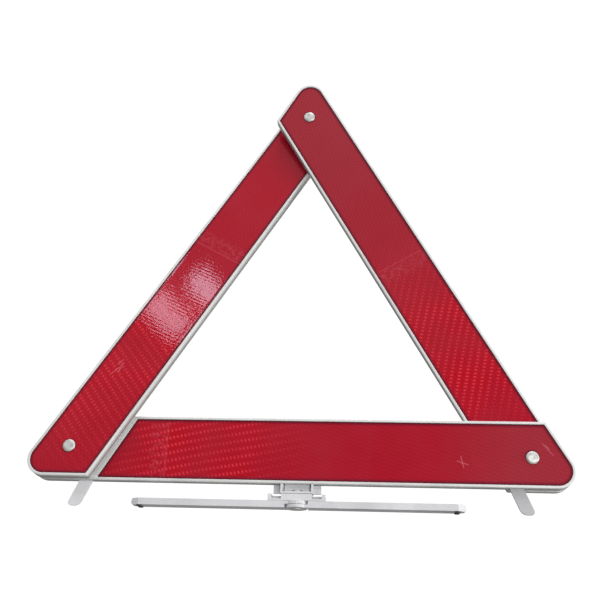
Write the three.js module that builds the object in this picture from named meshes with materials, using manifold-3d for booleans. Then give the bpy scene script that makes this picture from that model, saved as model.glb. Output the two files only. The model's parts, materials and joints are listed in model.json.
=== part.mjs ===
// Folding roadside warning triangle: three reflector arms riveted into a triangle, on a crossed-leg stand.
// Millimetres. +X to the right, +Y away from the reader of the sign, +Z up. The lenses face -Y.
// The origin is on the ground, under the middle of the triangle. The stand's legs are folded.
//
// The three arms are alike. Each runs from a leading end, which lies over its neighbour, to a trailing
// end, which lies under the next one. That overlap goes round in a cycle, so the two side arms lean.
import * as THREE from 'three';
import { mergeVertices } from 'three/addons/utils/BufferGeometryUtils.js';
import Module from 'manifold-3d';

const wasm = await Module();
wasm.setup();

// Triangle
const LENS_SIDE = 460; // side of the sharp triangle that the lens edges lie on
const LENS_WIDTH = 50;
const RIM = 2.2;
const PIVOT_INSET = 23.2; // from a lens's outer edge to a pivot
const CASING_CORNER = 14.5;
const INNER_CORNER = 1.5;
const GROUND_CLEARANCE = 20.5; // under the bottom arm's casing
const HIDDEN_CUT = 20; // how near the covered pivot a side arm's lens ends
const SEAM = 3.2; // from the left arm's inner edge to the bottom arm's lens

// Arm section, measured from the arm's middle plane: front is negative
const ARM_DEPTH = 9;
const LENS_SET_BACK = 0.4;
const LENS_DEPTH = 2.4;
const WEB = 0.8; // floor of the lens pocket
const COVER = 1.2;
const COVER_LIP = 1.1;
const LIP_WALL = 1.2;
const PANEL_EDGE = 7;
const PANEL_SINK = 0.4;
const FIT = 0.3;

// Layers and lean of the side arms
const LAYER = 11; // from one arm's middle plane to the next, at the bottom pivots
const LEAN = 0.0585; // depth gained by a side arm for each millimetre of height

// Pivots
const SHANK_R = 2.4;
const SHANK_HOLE_R = 3.5;
const HEAD_R = 5.2;
const HEAD_DOME = 1.3;
const TAIL_R = 4.2;
const TAIL_DOME = 0.9;
const DOME_SHARES = [1, 0.85, 0.5]; // of the radius, where a dome's profile has its points
const WASHER_R = 6.2;
const WASHER = 0.7;
const SINK_R = 8; // counterbore behind a pivot
const BOSS_R = 7.5;
const BOSS_TOP = 2;
const SPACER_R = 7;
const SPACER = 0.9;
const WASHER_GAP = 0.6; // between a boss and its washer
const TAIL_GAP = 0.2; // between a washer and a rivet's tail

// Latch at the top corner
const STUD_R = 3;
const STUD_REACH = 5.3;
const STUD_COLLAR_R = 4.6;
const STUD_COLLAR = 0.8;
const STUD_GROOVE = 0.5;
const STUD_TIP = 1; // chamfer
const CLIP_BASE_R = 8.5;
const CLIP_BASE = 1.1;
const CLIP_RISE = 3.6;
const CLIP_WALL = 2.2;

// Fixed feet at the ends of the bottom arm
const TAB_WIDTH = 10.3;
const TAB_INSET = 19; // from a pivot to a foot's inner edge, under the casing
const TAB_SPLAY = 0.42; // how far a foot runs outwards for each millimetre down
const TAB_CORNER = 4.5;
const TAB_FRONT = -0.2;
const TAB_BACK = 1.9;
const TAB_ROOT = 7;

// Stand
const BRACKET_HALF = 19.5;
const BRACKET_RISE = 7.8;
const RIB_X = 12.5;
const RIB = 1.6;
const BRACKET_PLATE = 1.5;
const TONGUE_HALF = 10;
const TONGUE_RISE = 9;
const SCREW_X = 6;
const SCREW_RISE = 6;
const SCREW_R = 1.2;
const SCREW_HEAD_R = 2.4;
const SCREW_HEAD = 0.7;
const SCREW_SLOT = 0.3; // half its width, and its depth
const HUB_HALF = 23.3;
const HUB_FLOOR = 1.3;
const HUB_LIP = 2.9;
const HUB_RISE = 5.6;
const HUB_STEP = 0.4; // from the block's top down to the lips, and half of what its sides are set in
const HUB_WALL = 1.6;
const HUB_DEPTH = 11;
const LEG_TOP = 6.3;
const LEG_REACH = 135.5;
const LEG_GAP = 0.7; // between the two legs when they are folded
const LEG_WIDTH = 5.6;
const LEG_HUB_R = 9;
const LEG_TIP_CUT = 3.2;
const LEG_ROUND = 2.4; // at a leg's tip, seen from the front
const PAD_R = 2.1;
const PAD_RISE = 0.9;
const PAD_FROM_TIP = 7;
const PAD_SET = 1; // how deep a pad sits in its leg
const PIN_R = 2.2;
const PIN_HEAD_R = 4;
const PIN_HEAD = 0.8;
const PIN_CLEAR = 0.1; // under the pin and over its foot

const PAST = 1; // how far a cut runs past the face it opens
const CURVE_STEPS = 8;
const ROUND_STEPS = 20;

const SIN60 = Math.sin(Math.PI / 3);
const OUTER = PIVOT_INSET + RIM; // from a pivot to a casing's outer edge
const INNER = LENS_WIDTH - PIVOT_INSET + RIM; // from a pivot to a casing's inner edge
const SPAN = LENS_SIDE - 4 * PIVOT_INSET * SIN60; // from pivot to pivot
const PIVOT_X = SPAN / 2;
const PIVOT_Z = GROUND_CLEARANCE + OUTER;
const SEAM_CUT = INNER + SEAM;
const TURN = (2 * Math.PI) / 3; // from one arm's direction to the next
const FRONT = -ARM_DEPTH / 2;
const BACK = ARM_DEPTH / 2;
const LENS_FRONT = FRONT + LENS_SET_BACK;
const LENS_BACK = LENS_FRONT + LENS_DEPTH;
const POCKET = LENS_BACK + FIT;
const WEB_BACK = POCKET + WEB;
const COVER_FRONT = BACK - COVER;
const FRAME_BACK = COVER_FRONT - FIT / 2;
const TILT = Math.atan(LEAN);

const lightPlastic = () => new THREE.MeshStandardMaterial({ color: 0xc9c9c6, roughness: 0.5 });
const standPlastic = () => new THREE.MeshStandardMaterial({ color: 0xc2c2c8, roughness: 0.55 });
const redLens = () => new THREE.MeshStandardMaterial({ color: 0xa01828, roughness: 0.18 });
const rivetMetal = () => new THREE.MeshStandardMaterial({ color: 0xd8d8d4, roughness: 0.35, metalness: 0.6 });
const rubber = () => new THREE.MeshStandardMaterial({ color: 0x2c2c2e, roughness: 0.8 });

// Closed geometry to a solid that can be cut and joined.
function solid(geometry) {
  geometry.deleteAttribute('normal');
  geometry.deleteAttribute('uv');
  const merged = mergeVertices(geometry, 1e-4);
  const vertProperties = new Float32Array(merged.getAttribute('position').array);
  const triVerts = new Uint32Array(merged.getIndex().array);
  return new wasm.Manifold(new wasm.Mesh({ numProp: 3, vertProperties, triVerts }));
}

function geometryOf(body) {
  const { vertProperties, triVerts } = body.getMesh();
  const geometry = new THREE.BufferGeometry();
  geometry.setAttribute('position', new THREE.BufferAttribute(vertProperties, 3));
  geometry.setIndex(new THREE.BufferAttribute(triVerts, 1));
  geometry.computeVertexNormals();
  return geometry;
}

function piece(name, body, material) {
  const mesh = new THREE.Mesh(geometryOf(body), material);
  mesh.name = name;
  return mesh;
}

// A shape drawn in X and Z, filled from one depth to another.
function prism(shape, front, back) {
  const options = { depth: back - front, bevelEnabled: false, curveSegments: CURVE_STEPS };
  const geometry = new THREE.ExtrudeGeometry(shape, options);
  geometry.rotateX(Math.PI / 2);
  geometry.translate(0, back, 0);
  return solid(geometry);
}

// A shape drawn in X and Y, filled from one height to another.
function slab(shape, low, high) {
  const options = { depth: high - low, bevelEnabled: false, curveSegments: CURVE_STEPS };
  const geometry = new THREE.ExtrudeGeometry(shape, options);
  geometry.translate(0, 0, low);
  return solid(geometry);
}

function block(x0, x1, y0, y1, z0, z1) {
  const geometry = new THREE.BoxGeometry(x1 - x0, y1 - y0, z1 - z0);
  geometry.translate((x0 + x1) / 2, (y0 + y1) / 2, (z0 + z1) / 2);
  return solid(geometry);
}

// A round bar along Y, centred on (x, z).
function barY(radius, front, back, x = 0, z = 0) {
  const geometry = new THREE.CylinderGeometry(radius, radius, back - front, ROUND_STEPS);
  geometry.translate(x, (front + back) / 2, z);
  return solid(geometry);
}

// A round bar along Z, centred on (x, y).
function barZ(radius, low, high, x = 0, y = 0) {
  const geometry = new THREE.CylinderGeometry(radius, radius, high - low, ROUND_STEPS);
  geometry.rotateX(Math.PI / 2);
  geometry.translate(x, y, (low + high) / 2);
  return solid(geometry);
}

// A turned piece along Y: each profile point is [radius, y], and the first and last are on the axis.
function turned(profile) {
  const points = profile.map(([radius, y]) => new THREE.Vector2(radius, y));
  return solid(new THREE.LatheGeometry(points, ROUND_STEPS));
}

// Profile points of a low dome that rises from y = base to y = base + rise. A front head's rise is negative.
function dome(radius, base, rise) {
  const points = DOME_SHARES.map((share) => [radius * share, base + rise * Math.sqrt(1 - share ** 3)]);
  return [...points, [0, base + rise]];
}

// An arm's outline, drawn in along its edges by inset. The leading pivot is at (0, 0) and the trailing
// one at (-SPAN, 0). With a cut, the trailing end is the straight line that lies that far from the
// trailing pivot, along the edge of the arm that covers it.
function armOutline(inset, cut = null) {
  const outer = OUTER - inset;
  const inner = INNER - inset;
  const radius = CASING_CORNER - inset;
  const centreOffset = OUTER - CASING_CORNER;
  const centreX = (1.5 * centreOffset) / SIN60;
  const endAtInner = (outer - inner / 2) / SIN60;
  const ease = Math.min(INNER_CORNER, inner);
  const shape = new THREE.Shape();
  shape.moveTo(-SPAN / 2, -outer);
  shape.lineTo(centreX, -outer);
  shape.absarc(centreX, -centreOffset, radius, -Math.PI / 2, Math.PI / 6, false);
  shape.lineTo(endAtInner + ease / 2, inner - ease * SIN60);
  shape.quadraticCurveTo(endAtInner, inner, endAtInner - ease, inner);
  if (cut === null) {
    shape.lineTo(-SPAN - endAtInner + ease, inner);
    shape.quadraticCurveTo(-SPAN - endAtInner, inner, -SPAN - endAtInner - ease / 2, inner - ease * SIN60);
    shape.absarc(-SPAN - centreX, -centreOffset, radius, (5 * Math.PI) / 6, (3 * Math.PI) / 2, false);
  } else {
    shape.lineTo(-SPAN + (cut + inner / 2) / SIN60, inner);
    shape.lineTo(-SPAN + (cut - outer / 2) / SIN60, -outer);
  }
  shape.closePath();
  return shape;
}

// The same shape at both of an arm's pivots.
function atPivots(make) {
  return make(0).add(make(-SPAN));
}

// Front frame: the rim, the side walls and the floor that the lens lies on, with a boss at each pivot.
function armFrame(name, lensCut, opening = null) {
  const lensPocket = prism(armOutline(RIM, lensCut - FIT), FRONT - PAST, POCKET);
  const backPocket = prism(armOutline(RIM), WEB_BACK, FRAME_BACK + PAST);
  const bosses = atPivots((x) => barY(BOSS_R, WEB_BACK - WEB / 2, BOSS_TOP, x));
  const holes = atPivots((x) => barY(SHANK_HOLE_R, FRONT - PAST, BACK + PAST, x));
  let body = prism(armOutline(0), FRONT, FRAME_BACK).subtract(lensPocket).subtract(backPocket);
  body = body.add(bosses).subtract(holes);
  if (opening !== null) {
    body = body.subtract(opening);
  }
  return piece(name, body, lightPlastic());
}

// Back cover: a plate with a sunk panel, a lip that locates inside the frame and an opening at each pivot.
function armCover(name, opening = null) {
  const plate = prism(armOutline(0), COVER_FRONT, BACK);
  const panel = prism(armOutline(PANEL_EDGE), BACK - PANEL_SINK, BACK + PAST);
  const lipOutside = prism(armOutline(RIM + FIT), COVER_FRONT - COVER_LIP, COVER_FRONT + COVER / 4);
  const lipInside = prism(armOutline(RIM + FIT + LIP_WALL), COVER_FRONT - COVER_LIP - PAST, COVER_FRONT);
  const sinks = atPivots((x) => barY(SINK_R, FRONT, BACK + PAST, x));
  let body = plate.subtract(panel).add(lipOutside.subtract(lipInside)).subtract(sinks);
  if (opening !== null) {
    body = body.subtract(opening);
  }
  return piece(name, body, lightPlastic());
}

// Reflex lens, with a hole for the rivet or stud at the leading pivot.
function armLens(name, lensCut) {
  const body = prism(armOutline(RIM + FIT, lensCut), LENS_FRONT, LENS_BACK);
  return piece(name, body.subtract(barY(SHANK_HOLE_R, FRONT, POCKET)), redLens());
}

// A rivet through two arms, with its head at the front.
function rivet(name, headBase, tailBase) {
  const profile = [
    ...dome(HEAD_R, headBase, -HEAD_DOME).reverse(),
    [SHANK_R, headBase],
    [SHANK_R, tailBase],
    ...dome(TAIL_R, tailBase, TAIL_DOME),
  ];
  return piece(name, turned(profile), rivetMetal());
}

// A flat ring with a round hole, from one depth to another.
function ring(name, radius, front, back, hole, material) {
  return piece(name, barY(radius, front, back).subtract(barY(hole, front - PAST, back + PAST)), material);
}

// Stud of the top latch: a head like the rivets', a collar behind the arm and a grooved tip.
function latchStud() {
  const headBase = LENS_FRONT - FIT;
  const collar = BACK - PANEL_SINK + FIT;
  const tip = BACK + STUD_REACH;
  const groove = tip - STUD_REACH / 2;
  const profile = [
    ...dome(HEAD_R, headBase, -HEAD_DOME).reverse(),
    [STUD_R, headBase],
    [STUD_R, collar],
    [STUD_COLLAR_R, collar],
    [STUD_COLLAR_R, collar + STUD_COLLAR],
    [STUD_R, collar + STUD_COLLAR],
    [STUD_R, groove - STUD_GROOVE],
    [STUD_R - STUD_GROOVE, groove],
    [STUD_R, groove + STUD_GROOVE],
    [STUD_R, tip - STUD_TIP],
    [STUD_R - STUD_TIP, tip],
    [0, tip],
  ];
  return piece('latch_stud', turned(profile), rivetMetal());
}

// Open jaw that the latch stud swings into, on the trailing end of the left arm. Its mouth takes a stud
// that comes from the inside of the triangle or from beyond the arm's end.
function latchClip() {
  const base = FRONT - FIT / 2;
  const plateFront = base - CLIP_BASE;
  const jawFront = plateFront - CLIP_RISE;
  const jawInside = STUD_R + FIT;
  const jawOutside = jawInside + CLIP_WALL;
  const far = 3 * CLIP_BASE_R;
  const reach = (far - jawInside / 2) / SIN60;
  const mouth = new THREE.Shape();
  mouth.moveTo(-SPAN + jawInside, 0);
  mouth.lineTo(-SPAN + jawInside, far);
  mouth.lineTo(-SPAN - far, far);
  mouth.lineTo(-SPAN - far, reach / 2 - jawInside * SIN60);
  mouth.lineTo(-SPAN - jawInside / 2, -jawInside * SIN60);
  mouth.closePath();
  const plate = barY(CLIP_BASE_R, plateFront, base, -SPAN);
  const jaw = barY(jawOutside, jawFront, plateFront + CLIP_BASE / 2, -SPAN);
  const bore = barY(jawInside, jawFront - PAST, plateFront, -SPAN);
  const body = plate.add(jaw.subtract(bore).subtract(prism(mouth, jawFront - PAST, plateFront)));
  return piece('latch_clip', body, standPlastic());
}

// Foot tab under one end of the bottom arm: side is -1 for left and 1 for right. With grow, it is the
// opening that the tab needs.
function tabBody(side, grow = 0) {
  const across = (TAB_WIDTH + grow) * Math.hypot(1, TAB_SPLAY);
  const inner = PIVOT_X - TAB_INSET + GROUND_CLEARANCE * TAB_SPLAY - grow / 2;
  const edgeX = (height, offset) => side * (inner + offset - height * TAB_SPLAY);
  const top = GROUND_CLEARANCE + TAB_ROOT;
  const shape = new THREE.Shape();
  shape.moveTo(edgeX(top, 0), top + grow);
  shape.lineTo(edgeX(TAB_CORNER, 0), TAB_CORNER);
  shape.quadraticCurveTo(edgeX(0, 0), 0, edgeX(0, TAB_CORNER), 0);
  shape.lineTo(edgeX(0, across - TAB_CORNER), 0);
  shape.quadraticCurveTo(edgeX(0, across), 0, edgeX(TAB_CORNER, across), TAB_CORNER);
  shape.lineTo(edgeX(top, across), top + grow);
  shape.closePath();
  return prism(shape, TAB_FRONT - grow / 2, TAB_BACK + grow / 2);
}

function footTab(name, side) {
  return piece(name, tabBody(side), standPlastic());
}

// What the feet, the bracket's tongue and its screws need cut out of the bottom arm, in the arm's own frame.
function bottomOpenings() {
  const low = GROUND_CLEARANCE - PAST;
  const high = GROUND_CLEARANCE + TONGUE_RISE + FIT;
  const slot = block(-TONGUE_HALF - FIT, TONGUE_HALF + FIT, TAB_FRONT - FIT, TAB_BACK + FIT, low, high);
  const tabs = tabBody(-1, 2 * FIT).add(tabBody(1, 2 * FIT));
  return slot.add(tabs).translate([-PIVOT_X, 0, -PIVOT_Z]);
}

function screwHoles(radius, front, back) {
  const height = GROUND_CLEARANCE + SCREW_RISE;
  return barY(radius, front, back, -SCREW_X, height).add(barY(radius, front, back, SCREW_X, height));
}

function coverOpenings() {
  const shanks = screwHoles(SCREW_R + FIT, 0, BACK + PAST);
  const heads = screwHoles(SCREW_HEAD_R + FIT, BACK - PANEL_SINK - SCREW_HEAD - FIT, BACK + PAST);
  return shanks.add(heads).translate([-PIVOT_X, 0, -PIVOT_Z]);
}

// Bracket under the bottom arm: a channel with two ribs, side wings and a tongue up into the casing.
function standBracket() {
  const top = GROUND_CLEARANCE - FIT;
  const low = GROUND_CLEARANCE - BRACKET_RISE;
  const joined = low + BRACKET_PLATE / 2;
  const ribs = [-1, 1].map((side) => {
    const middle = side * RIB_X;
    return block(middle - RIB / 2, middle + RIB / 2, FRONT, BACK, low, top);
  });
  const plate = block(-RIB_X, RIB_X, FRONT + FIT, BACK, low, low + BRACKET_PLATE);
  const wings = block(-BRACKET_HALF, BRACKET_HALF, TAB_BACK, BACK, joined, top);
  const tongueTop = GROUND_CLEARANCE + TONGUE_RISE;
  const tongue = block(-TONGUE_HALF, TONGUE_HALF, TAB_FRONT, TAB_BACK, joined, tongueTop);
  const wingFoot = block(-TONGUE_HALF, TONGUE_HALF, TAB_FRONT, BACK, joined, top - PAST);
  const headRoom = barZ(PIN_HEAD_R, low + BRACKET_PLATE, low + BRACKET_PLATE + 2 * PIN_HEAD);
  const pinHole = barZ(PIN_R + FIT, low - PAST, low + BRACKET_PLATE + PAST).add(headRoom);
  let body = ribs[0].add(ribs[1]).add(plate).add(wings).add(tongue).add(wingFoot);
  body = body.subtract(pinHole).subtract(screwHoles(SCREW_R + FIT / 2, TAB_FRONT - PAST, TAB_BACK + PAST));
  return piece('stand_bracket', body, standPlastic());
}

function bracketScrew(name, x) {
  const headBack = BACK - PANEL_SINK;
  const headFront = headBack - SCREW_HEAD;
  const profile = [
    [0, TAB_FRONT + FIT],
    [SCREW_R - FIT, TAB_FRONT + FIT],
    [SCREW_R - FIT, headFront],
    [SCREW_HEAD_R, headFront],
    [SCREW_HEAD_R, headBack],
    [0, headBack],
  ];
  const slot = block(-SCREW_HEAD_R, SCREW_HEAD_R, headBack - SCREW_SLOT, BACK, -SCREW_SLOT, SCREW_SLOT);
  const body = turned(profile).subtract(slot).translate([x, 0, GROUND_CLEARANCE + SCREW_RISE]);
  return piece(name, body, rivetMetal());
}

// Hub between the bracket and the legs: a block on a plate whose two ends turn up.
function standHub() {
  const low = LEG_TOP + FIT;
  const top = low + HUB_RISE;
  const deep = HUB_DEPTH / 2;
  const blockDeep = deep - 2 * HUB_STEP;
  const floor = block(-HUB_HALF, HUB_HALF, -deep, deep, low, low + HUB_FLOOR);
  const middle = block(-RIB_X, RIB_X, -blockDeep, blockDeep, low, top);
  const lip = block(HUB_HALF - HUB_LIP, HUB_HALF, -deep, deep, low, top - HUB_STEP);
  const lips = lip.add(lip.rotate([0, 0, 180]));
  const wall = block(-HUB_HALF, HUB_HALF, deep - HUB_WALL, deep, low, top - HUB_STEP);
  const whole = floor.add(middle).add(lips).add(wall);
  const body = whole.subtract(barZ(PIN_R + FIT, low - PAST, top + PAST));
  return piece('stand_hub', body, standPlastic());
}

// The right half of a leg as it is seen from the front, with a rounded tip.
function legProfile() {
  const shape = new THREE.Shape();
  shape.moveTo(0, PAD_RISE);
  shape.lineTo(LEG_REACH - LEG_ROUND, PAD_RISE);
  shape.quadraticCurveTo(LEG_REACH, PAD_RISE, LEG_REACH, PAD_RISE + LEG_ROUND);
  shape.lineTo(LEG_REACH, LEG_TOP - LEG_ROUND);
  shape.quadraticCurveTo(LEG_REACH, LEG_TOP, LEG_REACH - LEG_ROUND, LEG_TOP);
  shape.lineTo(0, LEG_TOP);
  shape.closePath();
  return shape;
}

// One crossed leg, folded. Its two halves lie on opposite sides of the middle, and its hub fills one
// half of the height, so that the other leg's hub fits over or under it. side is -1 where the left half
// is at the front.
function leg(name, side, hubLow, hubHigh) {
  const near = LEG_GAP / 2;
  const far = near + LEG_WIDTH;
  const start = LEG_HUB_R + FIT;
  const bar = new THREE.Shape();
  bar.moveTo(start, near);
  bar.lineTo(LEG_REACH, near);
  bar.lineTo(LEG_REACH, far - LEG_TIP_CUT);
  bar.lineTo(LEG_REACH - 2 * LEG_TIP_CUT, far);
  bar.lineTo(start, far);
  bar.closePath();
  const bridge = new THREE.Shape();
  bridge.moveTo(0, near);
  bridge.lineTo(start + LEG_GAP, near);
  bridge.lineTo(start + LEG_GAP, far);
  bridge.lineTo(0, far);
  bridge.closePath();
  const tipped = slab(bar, PAD_RISE, LEG_TOP).intersect(prism(legProfile(), 0, far + PAST));
  const arm = tipped.add(slab(bridge, hubLow, hubHigh));
  const both = arm.add(arm.rotate([0, 0, 180])).add(barZ(LEG_HUB_R, hubLow, hubHigh));
  const whole = both.subtract(barZ(PIN_R + FIT, hubLow - PAST, hubHigh + PAST));
  const body = side < 0 ? whole : whole.mirror([0, 1, 0]);
  return piece(name, body.subtract(padSockets(side)), standPlastic());
}

// The pads' places on a leg: [x, y] of the right end and of the left end.
function padPlaces(side) {
  const x = LEG_REACH - PAD_FROM_TIP;
  const y = -side * (LEG_GAP + LEG_WIDTH) / 2;
  return [[x, y], [-x, -y]];
}

function padSockets(side) {
  const [right, left] = padPlaces(side);
  const socket = ([x, y]) => barZ(PAD_R + FIT, 0, PAD_RISE + PAD_SET + FIT, x, y);
  return socket(right).add(socket(left));
}

function legPad(name, [x, y]) {
  return piece(name, barZ(PAD_R, 0, PAD_RISE + PAD_SET, x, y), rubber());
}

// Upright pin that holds the hub and both legs under the bracket.
function standPin() {
  const top = GROUND_CLEARANCE - BRACKET_RISE + BRACKET_PLATE + FIT;
  const foot = barZ(PIN_HEAD_R, PIN_CLEAR, PAD_RISE - PIN_CLEAR);
  const shank = barZ(PIN_R, PIN_CLEAR, top + PIN_HEAD);
  const head = barZ(PIN_HEAD_R - PIN_HEAD, top, top + PIN_HEAD);
  return piece('stand_pin', foot.add(shank).add(head), rivetMetal());
}

// Places an arm's pieces. pivot is the X of the bottom pivot they turn about, and layer their middle
// plane's depth there. tilt leans that plane, turn is the arm's angle from the bottom arm's direction,
// and shift is the X of the arm's leading end, measured along the arm from that pivot.
function placedArm(pieces, pivot, layer, tilt, turn, shift) {
  const inPlane = new THREE.Group();
  inPlane.rotation.y = -turn;
  const shifted = new THREE.Group();
  shifted.position.x = shift;
  shifted.add(...pieces);
  inPlane.add(shifted);
  const arm = new THREE.Group();
  arm.position.set(pivot, layer, PIVOT_Z);
  arm.rotation.x = tilt;
  arm.add(inPlane);
  return arm;
}

// Pieces centred on a side arm's bottom pivot, square to that arm.
function placedPivot(pieces, pivot, layer, tilt) {
  return placedArm(pieces, pivot, layer, tilt, 0, 0);
}

// A pivot's washer, whose front face lies at sink, and the spacer in the middle of the gap between its arms.
function washerSet(side, sink, gapMiddle) {
  const hole = SHANK_R + FIT;
  const spacerFront = gapMiddle - SPACER / 2;
  return [
    ring(`rivet_washer_${side}`, WASHER_R, sink, sink + WASHER, hole, rivetMetal()),
    ring(`arm_spacer_${side}`, SPACER_R, spacerFront, spacerFront + SPACER, hole, standPlastic()),
  ];
}

const bottomPieces = [
  armFrame('bottom_frame', SEAM_CUT, bottomOpenings()),
  armLens('bottom_lens', SEAM_CUT),
  armCover('bottom_back_cover', coverOpenings()),
];
const leftPieces = [
  armFrame('left_frame', HIDDEN_CUT),
  armLens('left_lens', HIDDEN_CUT),
  armCover('left_back_cover'),
  latchClip(),
];
const rightPieces = [
  armFrame('right_frame', HIDDEN_CUT),
  armLens('right_lens', HIDDEN_CUT),
  armCover('right_back_cover'),
  latchStud(),
];

const sinkOfBottom = LAYER + BOSS_TOP + WASHER_GAP;
const sinkOfRight = BOSS_TOP + WASHER_GAP;
const leftPivot = [
  rivet('rivet_left', LENS_FRONT - FIT, sinkOfBottom + WASHER + TAIL_GAP),
  ...washerSet('left', sinkOfBottom, LAYER / 2),
];
const rightPivot = [
  rivet('rivet_right', LENS_FRONT - LAYER - WASHER_GAP, sinkOfRight + WASHER + TAIL_GAP),
  ...washerSet('right', sinkOfRight, -LAYER / 2),
];

const hubSplit = (PAD_RISE + LEG_TOP) / 2;
const stand = new THREE.Group();
stand.add(standBracket(), standHub(), standPin());
stand.add(bracketScrew('bracket_screw_left', -SCREW_X), bracketScrew('bracket_screw_right', SCREW_X));
stand.add(footTab('foot_tab_left', -1), footTab('foot_tab_right', 1));
stand.add(leg('upper_leg', -1, hubSplit + FIT / 2, LEG_TOP));
stand.add(leg('lower_leg', 1, PAD_RISE, hubSplit - FIT / 2));
for (const [legName, side] of [['upper', -1], ['lower', 1]]) {
  const [right, left] = padPlaces(side);
  stand.add(legPad(`${legName}_leg_pad_right`, right), legPad(`${legName}_leg_pad_left`, left));
}

const group = new THREE.Group();
group.add(placedArm(bottomPieces, PIVOT_X, 0, 0, 0, 0));
group.add(placedArm(leftPieces, -PIVOT_X, -LAYER, -TILT, 2 * TURN, 0));
group.add(placedArm(rightPieces, PIVOT_X, LAYER, TILT, TURN, SPAN));
group.add(placedPivot(leftPivot, -PIVOT_X, -LAYER, -TILT));
group.add(placedPivot(rightPivot, PIVOT_X, LAYER, TILT));
group.add(stand);

export default group;
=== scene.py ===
"""Folding roadside warning triangle: the looks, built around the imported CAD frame. Metres, +Z up."""
import json
import math

import bmesh
import bpy
from mathutils import Matrix, Vector

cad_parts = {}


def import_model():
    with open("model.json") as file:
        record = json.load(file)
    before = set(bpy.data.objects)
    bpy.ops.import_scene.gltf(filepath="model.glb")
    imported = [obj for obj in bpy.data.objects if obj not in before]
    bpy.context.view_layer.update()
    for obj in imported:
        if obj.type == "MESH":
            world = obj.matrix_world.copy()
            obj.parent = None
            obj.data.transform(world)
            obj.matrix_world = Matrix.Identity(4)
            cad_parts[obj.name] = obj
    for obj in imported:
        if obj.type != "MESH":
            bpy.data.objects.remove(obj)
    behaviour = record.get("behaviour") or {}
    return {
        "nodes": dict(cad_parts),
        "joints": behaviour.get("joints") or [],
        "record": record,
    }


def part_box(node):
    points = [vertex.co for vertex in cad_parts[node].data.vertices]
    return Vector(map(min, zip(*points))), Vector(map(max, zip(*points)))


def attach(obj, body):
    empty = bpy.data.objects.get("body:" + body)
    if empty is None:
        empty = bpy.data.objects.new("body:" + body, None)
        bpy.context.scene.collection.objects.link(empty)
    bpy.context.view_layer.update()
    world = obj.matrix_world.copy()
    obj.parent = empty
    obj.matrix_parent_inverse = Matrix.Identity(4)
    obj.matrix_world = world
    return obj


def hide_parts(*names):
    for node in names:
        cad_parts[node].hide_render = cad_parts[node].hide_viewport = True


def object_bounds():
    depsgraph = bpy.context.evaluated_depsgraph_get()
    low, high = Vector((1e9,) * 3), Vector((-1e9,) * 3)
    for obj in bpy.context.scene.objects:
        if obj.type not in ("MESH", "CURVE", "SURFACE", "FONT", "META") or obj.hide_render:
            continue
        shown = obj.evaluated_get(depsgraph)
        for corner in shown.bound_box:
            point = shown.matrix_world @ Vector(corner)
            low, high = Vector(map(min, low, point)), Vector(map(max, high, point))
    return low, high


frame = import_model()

CAD_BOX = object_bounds()
MM = 0.001
SIN60 = math.sin(math.pi / 3)
TURN = 2 * math.pi / 3

# ---------------------------------------------------------------- sizes read from the frame
JOINTS = {joint["name"]: joint for joint in frame["joints"]}
LEFT_PIVOT = Vector(JOINTS["left_arm_swing"]["pos_m"])
RIGHT_PIVOT = Vector(JOINTS["right_arm_swing"]["pos_m"])
LEFT_NORMAL = -Vector(JOINTS["left_arm_swing"]["axis"])
RIGHT_NORMAL = Vector(JOINTS["right_arm_swing"]["axis"])
SPAN = RIGHT_PIVOT.x - LEFT_PIVOT.x

frame_low, frame_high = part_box("bottom_frame")
lens_low, lens_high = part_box("bottom_lens")
cover_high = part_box("bottom_back_cover")[1]
OUTER = LEFT_PIVOT.z - frame_low.z
INNER = frame_high.z - LEFT_PIVOT.z
FRONT = frame_low.y
FRAME_BACK = frame_high.y
LENS_INSET = lens_low.z - frame_low.z
LENS_FRONT = lens_low.y
LENS_BACK = lens_high.y
BACK = cover_high.y
FIT = 0.3 * MM
RIM = LENS_INSET - FIT
COVER_THICK = 1.2 * MM
COVER_FRONT = BACK - COVER_THICK
CASING_CORNER = 14.5 * MM
INNER_CORNER = 1.5 * MM
PANEL_EDGE = 7 * MM
PANEL_SINK = 0.4 * MM
SEAM = 3.2 * MM
SEAM_CUT = INNER + SEAM
HIDDEN_CUT = 20 * MM
SINK_R = 8 * MM
CASING_EDGE = 0.5 * MM
LENS_FLOOR = 0.8 * MM
LENS_EDGE = 0.35 * MM
LENS_BORDER = 0.2 * MM
BORDER_FADE = 2.8 * MM
LENS_DISH = 0.05 * MM
ARC_STEPS = 28
SMOOTH_ANGLE = math.radians(32)


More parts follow.
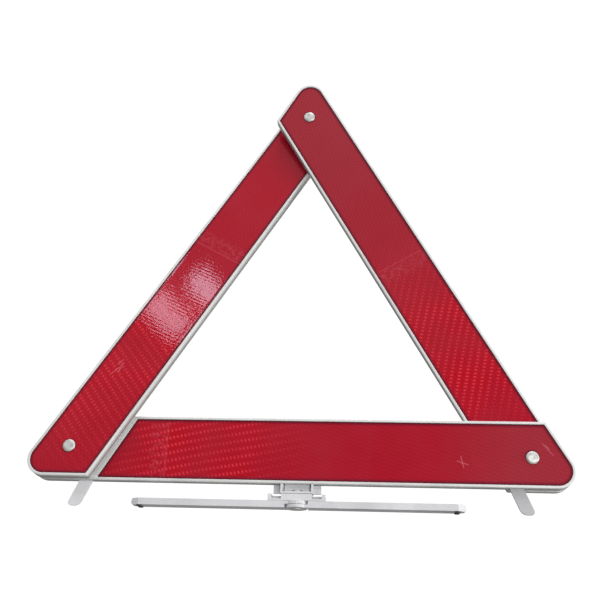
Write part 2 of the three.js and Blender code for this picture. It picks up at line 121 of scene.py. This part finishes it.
# ---------------------------------------------------------------- shader helpers
class Nodes:
    """A material's node tree, with short calls to add and link nodes."""

    def __init__(self, name):
        self.material = bpy.data.materials.new(name)
        self.material.use_nodes = True
        self.tree = self.material.node_tree
        self.shader = self.tree.nodes["Principled BSDF"]
        self.coords = self.add("ShaderNodeTexCoord").outputs["Object"]

    def add(self, kind, inputs=None, **settings):
        node = self.tree.nodes.new(kind)
        for key, value in settings.items():
            setattr(node, key, value)
        for key, value in (inputs or {}).items():
            if isinstance(value, bpy.types.NodeSocket):
                self.tree.links.new(value, node.inputs[key])
            else:
                node.inputs[key].default_value = value
        return node

    def math(self, operation, a, b=0.0, c=0.0):
        return self.add("ShaderNodeMath", {0: a, 1: b, 2: c}, operation=operation).outputs[0]

    def noise(self, scale, detail=3.0, roughness=0.5, stretch=None):
        where = self.coords
        if stretch is not None:
            where = self.add("ShaderNodeMapping", {"Vector": where, "Scale": stretch}).outputs[0]
        inputs = {"Vector": where, "Scale": scale, "Detail": detail, "Roughness": roughness}
        return self.add("ShaderNodeTexNoise", inputs).outputs["Fac"]

    def vector(self, operation, a, b=(0, 0, 0), output="Vector"):
        return self.add("ShaderNodeVectorMath", {0: a, 1: b}, operation=operation).outputs[output]

    def scaled(self, vector, factor):
        return self.add("ShaderNodeVectorMath", {0: vector, 3: factor}, operation="SCALE").outputs[0]

    def attribute(self, name, output):
        return self.add("ShaderNodeAttribute", attribute_name=name).outputs[output]

    def spread(self, value, low, high, to_low, to_high):
        inputs = {"Value": value, "From Min": low, "From Max": high, "To Min": to_low, "To Max": to_high}
        return self.add("ShaderNodeMapRange", inputs).outputs[0]

    def mix(self, factor, a, b):
        node = self.add("ShaderNodeMix", data_type="RGBA")
        for socket, value in ((node.inputs[0], factor), (node.inputs[6], a), (node.inputs[7], b)):
            if isinstance(value, bpy.types.NodeSocket):
                self.tree.links.new(value, socket)
            else:
                socket.default_value = value
        return node.outputs[2]

    def tint(self, tone, amount, strength, colour):
        """The tone, mixed with a colour by an amount from 0 to 1 times a strength."""
        return self.mix(self.math("MULTIPLY", amount, strength), tone, colour)

    def bump(self, height, distance, strength=1.0, normal=None):
        inputs = {"Height": height, "Distance": distance, "Strength": strength}
        if normal is not None:
            inputs["Normal"] = normal
        return self.add("ShaderNodeBump", inputs).outputs[0]

    def set(self, **inputs):
        for key, value in inputs.items():
            socket = self.shader.inputs[key.replace("_", " ")]
            if isinstance(value, bpy.types.NodeSocket):
                self.tree.links.new(value, socket)
            else:
                socket.default_value = value
        return self.material


# Painted shade: the dark colour laid on a casing's seams and on the rim's wall down to the lens.
SEAM_SHADE = (0.09, 0.085, 0.085, 1)


def plastic(name, colour, dirt, roughness):
    """Satin moulded plastic with a faint grain, handling scratches, dirt, and painted shade in its seams.
    """
    n = Nodes(name)
    film = n.spread(n.noise(28, 5, 0.6), 0.42, 0.72, 0, 1)
    specks = n.spread(n.noise(420, 2, 0.5), 0.66, 0.74, 0, 1)
    scratch = n.spread(n.noise(90, 4, 0.7, stretch=(0.15, 1, 3)), 0.6, 0.68, 0, 1)
    tone = n.tint(colour, film, 0.5, dirt)
    tone = n.tint(tone, specks, 0.5, dirt)
    # Painted shade on the points marked as border.
    tone = n.tint(tone, n.attribute("border", "Fac"), 0.85, SEAM_SHADE)
    tone = n.tint(tone, scratch, 0.45, dirt)
    rough = n.spread(n.math("ADD", film, scratch), 0, 2, roughness, roughness + 0.22)
    grain = n.bump(n.noise(1500, 2, 0.6), 0.00002, 0.4)
    normal = n.bump(scratch, 0.00003, 0.3, grain)
    return n.set(Base_Color=tone, Roughness=rough, Normal=normal)


def rivet_metal(name):
    """Dull light metal with stains and small dents."""
    n = Nodes(name)
    dents = n.noise(900, 3, 0.6)
    darkening = n.spread(n.noise(260, 4, 0.6), 0.4, 0.7, 0, 1)
    tone = n.mix(darkening, (0.63, 0.63, 0.61, 1), (0.38, 0.38, 0.365, 1))
    rough = n.spread(dents, 0.3, 0.7, 0.34, 0.52)
    return n.set(Base_Color=tone, Metallic=0.35, Roughness=rough, Normal=n.bump(dents, 0.0001, 0.6))


def rubber(name):
    """Dark rubber, dusty on its high spots."""
    n = Nodes(name)
    dust = n.spread(n.noise(500, 4, 0.6), 0.45, 0.75, 0, 1)
    tone = n.mix(dust, (0.03, 0.03, 0.032, 1), (0.13, 0.125, 0.12, 1))
    return n.set(Base_Color=tone, Roughness=0.78, Normal=n.bump(n.noise(1800), 0.0001, 0.6))


DOT_PITCH = 3.1 * MM
ROW_PITCH = 6.3 * MM
RIPPLE_PITCH = 2.9 * MM
WARP = 6 * MM
ZONE_SOFT = 70 * MM
RIVET_RING = 6.4 * MM
RING_SOFT = 1.2 * MM
SEAM_R = 0.25 * MM
SEAM_SOFT = 0.5 * MM
SCUFF_BEFORE = 7 * MM
SCUFF_R = 3 * MM
SCUFF_SOFT = 6 * MM
SCRATCH_R = 0.15 * MM
SCRATCH_SOFT = 0.35 * MM
SWELL_HEIGHT = 1 * MM
RIPPLE_HEIGHT = 0.007 * MM
FRONT_GRAIN = 0.028 * MM
PRISM_HEIGHT = 0.3 * MM
# LIT_RED and TIP_RED are painted highlight: the lens made lighter where its prisms catch the light.
DEEP_RED = (0.335, 0.004, 0.016, 1)
LIT_RED = (0.40, 0.0015, 0.010, 1)
WEAVE_RED = (0.60, 0.02, 0.04, 1)
TIP_RED = (0.80, 0.05, 0.08, 1)
SEAM_RED = (0.62, 0.10, 0.14, 1)
SCUFF_RED = (0.55, 0.12, 0.17, 1)
SCRATCH_RED = (0.62, 0.16, 0.20, 1)
HAZE_RED = (0.40, 0.05, 0.08, 1)
DULL_RED = (0.21, 0.052, 0.064, 1)
# EDGE_RED: painted shade along each lens's border, and the dark ring round its rivet.
EDGE_RED = (0.10, 0.004, 0.016, 1)


def wave(n, place, pitch, degrees):
    """A triangle wave from 0 to 1 across the arm's plane, in a direction given from its length."""
    angle = math.radians(degrees)
    along = (math.cos(angle) * 2 / pitch, 0, math.sin(angle) * 2 / pitch)
    return n.math("PINGPONG", n.vector("DOT_PRODUCT", place, along, "Value"), 1.0)


def band(n, value, middle, reach, soft):
    """1 where value is within reach of middle, falling to 0 over soft."""
    away = n.math("ABSOLUTE", n.math("SUBTRACT", value, middle))
    return n.spread(away, reach, reach + soft, 1, 0)


def scratch_line(n, level, start, end):
    """1 along a thin scratch between two (x, z) places on an arm, in millimetres, and 0 away from it. level
    is the place on the arm, without its depth."""
    first = Vector((start[0] * MM, 0, start[1] * MM))
    run = Vector((end[0] * MM, 0, end[1] * MM)) - first
    away = n.vector("SUBTRACT", level, first)
    share = n.spread(n.vector("DOT_PRODUCT", away, run, "Value"), 0, run.length_squared, 0, 1)
    gap = n.vector("DISTANCE", away, n.scaled(run, share), "Value")
    return n.spread(gap, SCRATCH_R, SCRATCH_R + SCRATCH_SOFT, 1, 0)


def prism_rows(n, place, rows):
    """The place bent a little, as the moulding is, the prisms' bright tips, which lie in rows in the given
    direction, and the fine weave between them."""
    warp = n.add("ShaderNodeTexNoise", {"Vector": place, "Scale": 8.0, "Detail": 1.0}).outputs["Color"]
    shift = n.scaled(n.vector("SUBTRACT", warp, (0.5, 0.5, 0.5)), WARP)
    bent = n.vector("ADD", place, shift)
    across = wave(n, bent, ROW_PITCH, rows + 90)
    along = wave(n, bent, DOT_PITCH, rows + 8)
    tips = n.math("MULTIPLY", n.spread(across, 0.42, 0.95, 0, 1), n.spread(along, 0.3, 0.9, 0, 1))
    weave = n.math("ADD", wave(n, bent, DOT_PITCH, rows + 60), wave(n, bent, DOT_PITCH, rows - 60))
    return bent, tips, weave


def reflex_lens(name, rows, zone, seams, dull=None, scratches=()):
    """Red prism reflector: a clear front over moulded prisms. rows is the direction of its rows of prism
    tips, which carry a painted highlight, strongest in a zone of (middle, reach) along the arm. seams are
    the places where its moulded tiles meet. Its tone dulls between the two places of dull, and stays so
    beyond."""
    n = Nodes(name)
    place = n.attribute("flat", "Vector")
    n.coords = place
    level = n.vector("MULTIPLY", place, (1, 0, 1))
    length = n.add("ShaderNodeSeparateXYZ", {0: place}).outputs[0]
    bent, tips, weave = prism_rows(n, place, rows)
    # Painted highlight: a zone along the arm, broken into patches, where the lens is made lighter.
    patch = n.spread(n.noise(16, 3, 0.6), 0.36, 0.6, 0.25, 1)
    lit = n.math("MULTIPLY", band(n, length, *zone, ZONE_SOFT), patch)
    haze = n.spread(n.noise(14, 4, 0.6), 0.42, 0.75, 0, 1)
    scuffs = n.spread(n.noise(260, 3, 0.6), 0.45, 0.65, 0, 1)
    tone = n.mix(lit, DEEP_RED, LIT_RED)
    tone = n.tint(tone, weave, 0.045, WEAVE_RED)
    # Painted glints on the prism tips within the lit zone.
    tone = n.tint(tone, n.math("MULTIPLY", tips, lit), 0.8, TIP_RED)
    for seam in seams:
        tone = n.tint(tone, band(n, length, seam, SEAM_R, SEAM_SOFT), 0.22, SEAM_RED)
        scuffed = n.math("MULTIPLY", band(n, length, seam - SCUFF_BEFORE, SCUFF_R, SCUFF_SOFT), scuffs)
        tone = n.tint(tone, scuffed, 0.22, SCUFF_RED)
    for start, end in scratches:
        tone = n.tint(tone, scratch_line(n, level, start, end), 0.6, SCRATCH_RED)
    tone = n.tint(tone, haze, 0.14, HAZE_RED)
    if dull:
        tone = n.mix(n.spread(length, *dull, 0, 0.3), tone, DULL_RED)
    radius = n.vector("LENGTH", level, output="Value")
    # A dark ring round the rivet head, on the lens.
    darkening = n.spread(radius, RIVET_RING - RING_SOFT, RIVET_RING, 0.8, 0)
    # Painted shade along the lens's border, fading inwards.
    border = n.math("MULTIPLY", n.attribute("border", "Fac"), 0.85)
    tone = n.mix(n.math("MAXIMUM", darkening, border), tone, EDGE_RED)
    wear = n.spread(n.noise(160, 5, 0.7, stretch=(0.2, 1, 2.5)), 0.62, 0.7, 0, 1)
    swell = n.bump(n.noise(9, 2, 0.5), SWELL_HEIGHT, 0.012)
    ripple = n.bump(wave(n, bent, RIPPLE_PITCH, 5), RIPPLE_HEIGHT, 1.0, swell)
    front = n.bump(n.noise(420, 2, 0.6), FRONT_GRAIN, 1.0, ripple)
    inside = n.bump(n.math("ADD", weave, tips), PRISM_HEIGHT, 0.3)
    rough = n.spread(n.math("ADD", haze, wear), 0, 2, 0.35, 0.6)
    n.set(Coat_Weight=0.45, Coat_Roughness=0.03, Coat_IOR=1.49, Coat_Normal=front)
    return n.set(Base_Color=tone, Roughness=rough, Normal=inside, Specular_IOR_Level=0.0)


CASING = plastic("casing_plastic", (0.66, 0.66, 0.65, 1), (0.47, 0.465, 0.44, 1), 0.38)
STAND = plastic("stand_plastic", (0.62, 0.62, 0.635, 1), (0.42, 0.42, 0.43, 1), 0.42)
# Painted light and shade: a darker and a lighter copy of the stand plastic, for the two foot tabs.
SHADED_STAND = plastic("stand_plastic_shaded", (0.43, 0.43, 0.44, 1), (0.27, 0.27, 0.28, 1), 0.46)
LIT_STAND = plastic("stand_plastic_lit", (0.84, 0.84, 0.86, 1), (0.62, 0.62, 0.63, 1), 0.42)
LEFT_SCRATCHES = (
    ((-70.0, -9.0), (-78.0, -6.5)),
    ((-74.0, -5.0), (-83.0, -6.0)),
    ((-79.0, -9.5), (-85.0, -8.0)),
)
BOTTOM_SCRATCHES = (
    ((-56.1, -6.1), (-57.2, -0.6)),
    ((-56.1, -6.1), (-51.4, -7.5)),
    ((-56.1, -6.1), (-60.2, -4.5)),
    ((-56.1, -6.1), (-55.2, -9.9)),
    ((8.6, 11.0), (12.8, 5.7)),
    ((12.8, 5.7), (16.8, 1.2)),
    ((10.9, 9.8), (13.9, 6.2)),
)
LENSES = {
    "bottom": reflex_lens(
        "red_reflex_lens_bottom",
        rows=11,
        zone=(-290 * MM, 45 * MM),
        seams=(-300 * MM,),
        dull=(-80 * MM, -10 * MM),
        scratches=BOTTOM_SCRATCHES,
    ),
    "left": reflex_lens(
        "red_reflex_lens_left",
        rows=68,
        zone=(-90 * MM, 45 * MM),
        seams=(-150 * MM, -215 * MM),
        scratches=LEFT_SCRATCHES,
    ),
    "right": reflex_lens(
        "red_reflex_lens_right",
        rows=-42,
        zone=(-270 * MM, 45 * MM),
        seams=(-174 * MM,),
        dull=(-290 * MM, -50 * MM),
    ),
}
METAL = rivet_metal("rivet_metal")
RUBBER = rubber("pad_rubber")


# ---------------------------------------------------------------- mesh helpers
def fillet(before, corner, after, radius, steps):
    """The points of a round of the given radius on a corner of an outline."""
    to_before = (before - corner).normalized()
    to_after = (after - corner).normalized()
    half = to_before.angle(to_after) / 2
    middle = corner + (to_before + to_after).normalized() * (radius / math.sin(half))
    reach = radius / math.tan(half)
    first = corner + to_before * reach - middle
    last = corner + to_after * reach - middle
    sweep = first.angle_signed(last)
    return [middle + Matrix.Rotation(-sweep * i / steps, 2) @ first for i in range(steps + 1)]


def arm_outline(inset, cut=None):
    """An arm's outline in X and Z, drawn in by inset. The leading pivot is at (0, 0), the trailing one at
    (-SPAN, 0). With a cut, the trailing end is a straight line that far from the trailing pivot."""
    outer = OUTER - inset
    inner = INNER - inset
    tip = 1.5 * outer / SIN60
    short = (outer - inner / 2) / SIN60
    round_corner = CASING_CORNER - inset
    if cut is None:
        trailing = [(-SPAN - tip, -outer, round_corner), (-SPAN - short, inner, INNER_CORNER)]
    else:
        low_x = -SPAN + (cut - outer / 2) / SIN60
        high_x = -SPAN + (cut + inner / 2) / SIN60
        trailing = [(low_x, -outer, INNER_CORNER / 2), (high_x, inner, INNER_CORNER / 2)]
    leading = [(tip, -outer, round_corner), (short, inner, INNER_CORNER)]
    corners = [trailing[0], *leading, trailing[1]]
    points = []
    for i, (x, z, radius) in enumerate(corners):
        before = Vector(corners[i - 1][:2])
        after = Vector(corners[(i + 1) % len(corners)][:2])
        points += fillet(before, Vector((x, z)), after, radius, ARC_STEPS)
    return points


def new_object(name, mesh, material):
    """An object for a bmesh, with its material and smooth faces that stay sharp at its edges."""
    data = bpy.data.meshes.new(name)
    bmesh.ops.recalc_face_normals(mesh, faces=mesh.faces)
    mesh.to_mesh(data)
    mesh.free()
    data.shade_smooth()
    data.set_sharp_from_angle(angle=SMOOTH_ANGLE)
    data.materials.append(material)
    obj = bpy.data.objects.new(name, data)
    bpy.context.scene.collection.objects.link(obj)
    return obj


def ringed(name, rings, material, borders=()):
    """A closed body from rings of (inset, y, cut), joined in order, with both ends filled. borders gives
    the rings whose points are marked as the piece's border, where its material paints shade."""
    mesh = bmesh.new()
    mark = mesh.verts.layers.float.new("border")
    loops = []
    for i, (inset, y, cut) in enumerate(rings):
        loop = [mesh.verts.new((x, y, z)) for x, z in arm_outline(inset, cut)]
        for vertex in loop:
            vertex[mark] = 1.0 if i in borders else 0.0
        loops.append(loop)
    for low, high in zip(loops, loops[1:]):
        for i in range(len(low)):
            j = (i + 1) % len(low)
            mesh.faces.new((low[i], low[j], high[j], high[i]))
    mesh.faces.new(loops[0])
    mesh.faces.new(list(reversed(loops[-1])))
    return new_object(name, mesh, material)


def turned(name, profile, material, steps=56):
    """A piece turned about Y. The profile is (radius, y) points from axis to axis."""
    mesh = bmesh.new()
    rings = []
    for radius, y in profile:
        if radius < 1e-7:
            rings.append([mesh.verts.new((0, y, 0))])
            continue
        angles = [2 * math.pi * i / steps for i in range(steps)]
        rings.append([mesh.verts.new((radius * math.cos(a), y, radius * math.sin(a))) for a in angles])
    for low, high in zip(rings, rings[1:]):
        for i in range(steps):
            j = (i + 1) % steps
            corners = [low[i % len(low)], low[j % len(low)], high[j % len(high)], high[i % len(high)]]
            mesh.faces.new(list(dict.fromkeys(corners)))
    return new_object(name, mesh, material)


def cut_by(obj, *cutters):
    """Takes cutters out of obj, for good."""
    for cutter in cutters:
        modifier = obj.modifiers.new("cut", "BOOLEAN")
        modifier.operation = "DIFFERENCE"
        modifier.solver = "EXACT"
        modifier.object = cutter
    evaluated = obj.evaluated_get(bpy.context.evaluated_depsgraph_get())
    data = bpy.data.meshes.new_from_object(evaluated)
    obj.modifiers.clear()
    obj.data = data
    data.set_sharp_from_angle(angle=SMOOTH_ANGLE)
    for cutter in cutters:
        bpy.data.objects.remove(cutter)


def disc_cutter(radius, x, front, back):
    profile = [(0, front), (radius, front), (radius, back), (0, back)]
    cutter = turned("cutter", profile, CASING)
    cutter.data.transform(Matrix.Translation((x, 0, 0)))
    return cutter


# ---------------------------------------------------------------- the three arms
def arm_matrix(pivot, normal, turn, shift):
    """Places an arm: its bottom pivot, the direction its back faces, the turn from the bottom arm's
    direction, and the X of the leading end from that pivot."""
    lean = Matrix.Rotation(math.atan2(normal.z, normal.y), 4, "X")
    turned_arm = lean @ Matrix.Rotation(-turn, 4, "Y") @ Matrix.Translation((shift, 0, 0))
    return Matrix.Translation(pivot) @ turned_arm


def frame_piece(name, cut):
    """An arm's front frame: a rim round the lens, its side walls and the floor under the lens."""
    edge = CASING_EDGE
    pocket = LENS_BACK + FIT
    lip = cut - FIT
    rings = [
        (RIM, pocket + LENS_FLOOR, None),
        (RIM, FRAME_BACK - edge / 3, None),
        (RIM - edge / 3, FRAME_BACK, None),
        (edge * 1.2, FRAME_BACK, None),
        (edge * 0.9, FRAME_BACK - edge * 0.6, None),
        (0, FRAME_BACK - edge, None),
        (0, FRAME_BACK - edge * 1.5, None),
        (0, FRONT + edge, None),
        (edge * 0.12, FRONT + edge * 0.5, None),
        (edge * 0.5, FRONT + edge * 0.12, None),
        (edge, FRONT, None),
        (RIM - edge * 0.6, FRONT, lip - edge * 0.6),
        (RIM, FRONT + edge * 0.6, lip),
        (RIM, FRONT + edge * 1.2, lip),
        (RIM, pocket, lip),
    ]
    # The border rings, at the seam with the cover and on the rim's wall down to the lens, carry painted
    # shade.
    return ringed(name, rings, CASING, borders=(3, 4, 5, 6, 13, 14))


def cover_piece(name):
    """An arm's back cover: a rounded edge, a sunk panel and a hole round each pivot."""
    edge = CASING_EDGE
    rings = [
        (RIM, COVER_FRONT, None),
        (edge * 0.9, COVER_FRONT, None),
        (0, COVER_FRONT + edge * 0.6, None),
        (0, BACK - edge, None),
        (edge * 0.12, BACK - edge * 0.5, None),
        (edge * 0.5, BACK - edge * 0.12, None),
        (edge, BACK, None),
        (PANEL_EDGE - edge, BACK, None),
        (PANEL_EDGE, BACK - PANEL_SINK, None),
    ]
    # The border rings, at the seam with the frame, carry painted shade.
    obj = ringed(name, rings, CASING, borders=(0, 1))
    cut_by(obj, *(disc_cutter(SINK_R, x, COVER_FRONT - MM, BACK + MM) for x in (0, -SPAN)))
    return obj


def lens_piece(name, cut, material):
    """An arm's lens: a border darkened with painted shade, then a front that lies a little deeper."""
    edge = LENS_EDGE
    inner = LENS_BORDER + edge
    outer_rings = [
        (0, LENS_BACK),
        (0, LENS_FRONT + edge),
        (edge * 0.3, LENS_FRONT + edge * 0.3),
        (edge, LENS_FRONT),
        (LENS_BORDER, LENS_FRONT),
        (inner, LENS_FRONT + LENS_DISH),
        (LENS_BORDER + BORDER_FADE, LENS_FRONT + LENS_DISH),
    ]
    rings = [(LENS_INSET + inset, y, cut + inset) for inset, y in outer_rings]
    # Every ring but the last is marked as border, for painted shade along the lens's edge.
    return ringed(name, rings, material, borders=range(len(rings) - 1))


UNTILTED = Vector((0, 1, 0))
ARMS = {
    "bottom": ("base", arm_matrix(Vector((SPAN / 2, 0, LEFT_PIVOT.z)), UNTILTED, 0, 0), SEAM_CUT),
    "left": ("left_arm", arm_matrix(LEFT_PIVOT, LEFT_NORMAL, 2 * TURN, 0), HIDDEN_CUT),
    "right": ("right_arm", arm_matrix(RIGHT_PIVOT, RIGHT_NORMAL, TURN, SPAN), HIDDEN_CUT),
}


def stand_for(obj, node, body, place):
    """Sets obj in its place, where it stands for a CAD node and rides on its body. Its points keep where
    they lay on the flat arm, for its material."""
    flat = obj.data.attributes.new("flat", "FLOAT_VECTOR", "POINT")
    for vertex, mark in zip(obj.data.vertices, flat.data):
        mark.vector = vertex.co
    obj.data.transform(place)
    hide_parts(node)
    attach(obj, body)
    return obj


for side, (body, place, cut) in ARMS.items():
    stand_for(frame_piece(f"{side}_frame_shell", cut), f"{side}_frame", body, place)
    stand_for(cover_piece(f"{side}_cover_shell"), f"{side}_back_cover", body, place)
    lens = lens_piece(f"{side}_reflex_lens", cut, LENSES[side])
    stand_for(lens, f"{side}_lens", body, place)


# ---------------------------------------------------------------- rivets and latch stud
HEAD_R = 5.2 * MM
SHANK_R = 2.4 * MM
HEAD_DOME = 1.3 * MM
TAIL_R = 4.2 * MM
TAIL_DOME = 0.9 * MM
DISH_DEPTH = 0.16
DISH_WIDTH = 0.42
STUD_R = 3 * MM
STUD_REACH = 5.3 * MM
STUD_COLLAR_R = 4.6 * MM
STUD_COLLAR = 0.8 * MM
STUD_GROOVE = 0.5 * MM
STUD_TIP = 1 * MM


def head_profile(radius, base, rise, steps=10):
    """A low round head with a slightly dished middle, from the axis out to its edge at base."""
    points = []
    for i in range(steps + 1):
        share = i / steps
        crown = math.sqrt(max(0.0, 1 - share ** 4))
        dish = DISH_DEPTH * math.exp(-((share / DISH_WIDTH) ** 2))
        points.append((radius * share, base + rise * (crown - dish)))
    return points


def rivet_piece(name, head_base, tail_base):
    profile = head_profile(HEAD_R, head_base, -HEAD_DOME)
    profile += [(SHANK_R, head_base), (SHANK_R, tail_base)]
    profile += list(reversed(head_profile(TAIL_R, tail_base, TAIL_DOME)))
    return turned(name, profile, METAL)


def stud_piece(name, head_base, collar, tip):
    groove = tip - STUD_REACH / 2
    profile = head_profile(HEAD_R, head_base, -HEAD_DOME)
    profile += [
        (STUD_R, head_base),
        (STUD_R, collar),
        (STUD_COLLAR_R, collar),
        (STUD_COLLAR_R, collar + STUD_COLLAR),
        (STUD_R, collar + STUD_COLLAR),
        (STUD_R, groove - STUD_GROOVE),
        (STUD_R - STUD_GROOVE, groove),
        (STUD_R, groove + STUD_GROOVE),
        (STUD_R, tip - STUD_TIP),
        (STUD_R - STUD_TIP, tip),
        (0, tip),
    ]
    return turned(name, profile, METAL)


def depths(normal, node, pivot):
    """How far a CAD node reaches along a pivot's axis, from the pivot: its nearest and farthest."""
    reach = [(v.co - pivot).dot(normal) for v in frame["nodes"][node].data.vertices]
    return min(reach), max(reach)


for side, pivot, normal in (("left", LEFT_PIVOT, LEFT_NORMAL), ("right", RIGHT_PIVOT, RIGHT_NORMAL)):
    node = f"rivet_{side}"
    near, far = depths(normal, node, pivot)
    piece = rivet_piece(f"{node}_turned", near + HEAD_DOME, far - TAIL_DOME)
    stand_for(piece, node, f"{side}_arm", arm_matrix(pivot, normal, 0, 0))

stud_place = ARMS["right"][1]
near, far = depths(RIGHT_NORMAL, "latch_stud", stud_place.translation)
stud = stud_piece("latch_stud_turned", near + HEAD_DOME, BACK - PANEL_SINK + FIT, far)
stand_for(stud, "latch_stud", "right_arm", stud_place)

# ---------------------------------------------------------------- CAD nodes that stay
FINISH = {
    "casing_plastic": CASING,
    "stand_plastic": STAND,
    "red_reflex_lens": LENSES["bottom"],
    "rivet_metal": METAL,
    "pad_rubber": RUBBER,
}
# The left foot tab gets the painted-light copy of the stand plastic, the right one the painted-shade copy.
TAB_LIGHT_AND_SHADE = {"foot_tab_left": LIT_STAND, "foot_tab_right": SHADED_STAND}
SLOTS = {row["node"]: row["material_slot"] for row in frame["record"]["subparts"]}
BEVEL = 0.3 * MM
BEVEL_ANGLE = math.radians(40)
for node, obj in frame["nodes"].items():
    obj.data.materials.clear()
    obj.data.materials.append(TAB_LIGHT_AND_SHADE.get(node, FINISH[SLOTS[node]]))
    if obj.hide_render:
        continue
    bevel = obj.modifiers.new("edges", "BEVEL")
    bevel.width = BEVEL
    bevel.segments = 2
    bevel.limit_method = "ANGLE"
    bevel.angle_limit = BEVEL_ANGLE
    bevel.harden_normals = True

# ---------------------------------------------------------------- stage, light and camera
CAMERA_PLACE = Vector((0.0574, -0.7105, -0.1309))
CAMERA_PITCH = math.radians(23.93)
CAMERA_YAW = math.radians(-4.90)
CAMERA_ROLL = math.radians(2.17)
FRAME_WIDTH = 600
FOCAL_SHARE = 873.1 / FRAME_WIDTH
AHEAD = Vector((
    math.sin(CAMERA_YAW) * math.cos(CAMERA_PITCH),
    math.cos(CAMERA_YAW) * math.cos(CAMERA_PITCH),
    math.sin(CAMERA_PITCH),
))
LEVEL = Vector((math.cos(CAMERA_YAW), -math.sin(CAMERA_YAW), 0))
UPWARD = LEVEL.cross(AHEAD)
RIGHT = LEVEL * math.cos(CAMERA_ROLL) + UPWARD * math.sin(CAMERA_ROLL)
TOP = RIGHT.cross(AHEAD)
FLOOR_SIZE = 60
LENS_DEPTH = 4 * MM
WINDOW_AWAY = 1.6
WINDOW_COLOUR = (0.80, 0.80, 1.0)
WHITE = (1, 1, 1)
BACKDROP = 1.05
SKY = {"From Min": 0.2, "From Max": 0.95, "To Min": 0.31, "To Max": 1.2}


def camera():
    """The photo's camera: a little below the sign's ground, looking up at it."""
    data = bpy.data.cameras.new("camera")
    data.sensor_width = 36
    data.lens = FOCAL_SHARE * data.sensor_width
    data.clip_start = 0.01
    obj = bpy.data.objects.new("camera", data)
    turn = Matrix((RIGHT, TOP, -AHEAD)).transposed()
    obj.matrix_world = Matrix.Translation(CAMERA_PLACE) @ turn.to_4x4()
    bpy.context.scene.collection.objects.link(obj)
    bpy.context.scene.camera = obj


def floor():
    """A pale floor that shows only from above, so that a camera under its level sees the sign."""
    n = Nodes("floor")
    n.set(Base_Color=(0.66, 0.66, 0.66, 1), Roughness=0.7)
    backfacing = n.add("ShaderNodeNewGeometry").outputs["Backfacing"]
    clear = n.add("ShaderNodeBsdfTransparent")
    mixer = n.add("ShaderNodeMixShader", {0: backfacing, 1: n.shader.outputs[0], 2: clear.outputs[0]})
    n.tree.links.new(mixer.outputs[0], n.tree.nodes["Material Output"].inputs["Surface"])
    bpy.ops.mesh.primitive_plane_add(size=FLOOR_SIZE, location=(0, 0, CAD_BOX[0][2]))
    plane = bpy.context.object
    plane.name = "floor"
    plane.data.materials.append(n.material)
    plane.visible_diffuse = False
    plane.visible_glossy = False
    plane.visible_shadow = False


def add_area(name, matrix, size, power, colour):
    """A rectangular light that the camera can't see."""
    data = bpy.data.lights.new(name, "AREA")
    data.shape = "RECTANGLE"
    data.size, data.size_y = size
    data.energy = power
    data.color = colour
    light = bpy.data.objects.new(name, data)
    light.matrix_world = matrix
    light.visible_camera = False
    bpy.context.scene.collection.objects.link(light)


def area_light(name, place, aim, size, power):
    turn = (Vector(aim) - Vector(place)).to_track_quat("-Z", "Y").to_matrix()
    add_area(name, Matrix.Translation(place) @ turn.to_4x4(), size, power, WHITE)


def mirror(column, row):
    """The place on the left lens that the camera sees at a place in the frame, and the point that shows
    mirrored there."""
    right = RIGHT * (column / FRAME_WIDTH - 0.5)
    up = TOP * (0.5 - row / FRAME_WIDTH)
    ray = (AHEAD * FOCAL_SHARE + right + up).normalized()
    normal = -LEFT_NORMAL
    to_lens = (LEFT_PIVOT + normal * LENS_DEPTH - CAMERA_PLACE).dot(normal) / ray.dot(normal)
    spot = CAMERA_PLACE + ray * to_lens
    return spot, spot + (ray - normal * (2 * ray.dot(normal))) * WINDOW_AWAY


def mirrored_window(name, start, end, side, power):
    """A window that shows mirrored in the left lens between three places in the frame: the ends of one
    edge, and a place on the opposite edge."""
    spot, first = mirror(*start)
    last = mirror(*end)[1]
    beyond = mirror(*side)[1]
    edge = last - first
    across = (beyond - first) - edge * ((beyond - first).dot(edge) / edge.length_squared)
    centre = (first + last + across) / 2
    x_axis = edge.normalized()
    z_axis = (centre - spot).normalized()
    y_axis = z_axis.cross(x_axis).normalized()
    z_axis = x_axis.cross(y_axis)
    turn = Matrix((x_axis, y_axis, z_axis)).transposed()
    add_area(
        name, Matrix.Translation(centre) @ turn.to_4x4(), (edge.length, across.length), power, WINDOW_COLOUR
    )


def world():
    """A white backdrop for the camera, and for everything else soft light that is strongest overhead."""
    scene_world = bpy.data.worlds.new("studio")
    scene_world.use_nodes = True
    tree = scene_world.node_tree
    background = tree.nodes["Background"]
    direction = tree.nodes.new("ShaderNodeTexCoord")
    axes = tree.nodes.new("ShaderNodeSeparateXYZ")
    height = tree.nodes.new("ShaderNodeMapRange")
    for key, value in SKY.items():
        height.inputs[key].default_value = value
    paths = tree.nodes.new("ShaderNodeLightPath")
    pick = tree.nodes.new("ShaderNodeMix")
    pick.inputs[3].default_value = BACKDROP
    tree.links.new(direction.outputs["Generated"], axes.inputs[0])
    tree.links.new(axes.outputs["Z"], height.inputs["Value"])
    tree.links.new(paths.outputs["Is Camera Ray"], pick.inputs[0])
    tree.links.new(height.outputs[0], pick.inputs[2])
    tree.links.new(pick.outputs[0], background.inputs["Strength"])
    background.inputs["Color"].default_value = (1, 1, 1, 1)
    bpy.context.scene.world = scene_world


floor()
world()
camera()
bpy.context.scene.view_settings.view_transform = "Standard"
area_light("key", (0.1, -0.9, 2.3), (0, 0, 0.2), (1.6, 1.0), 27)
area_light("side", (1.8, -0.25, 0.0), (0, 0, 0.2), (0.8, 0.8), 26)
area_light("front", (0.6, -1.8, -0.12), (0, 0, 0.15), (1.2, 0.5), 14)
area_light("back", (0, 1.7, 1.9), (0, 0, 0.2), (1.2, 0.8), 28)
mirrored_window("window_high", (184, 283), (215, 318), (202, 267), 0.42)
mirrored_window("window_low", (161, 288), (194, 321), (150, 317), 0.37)
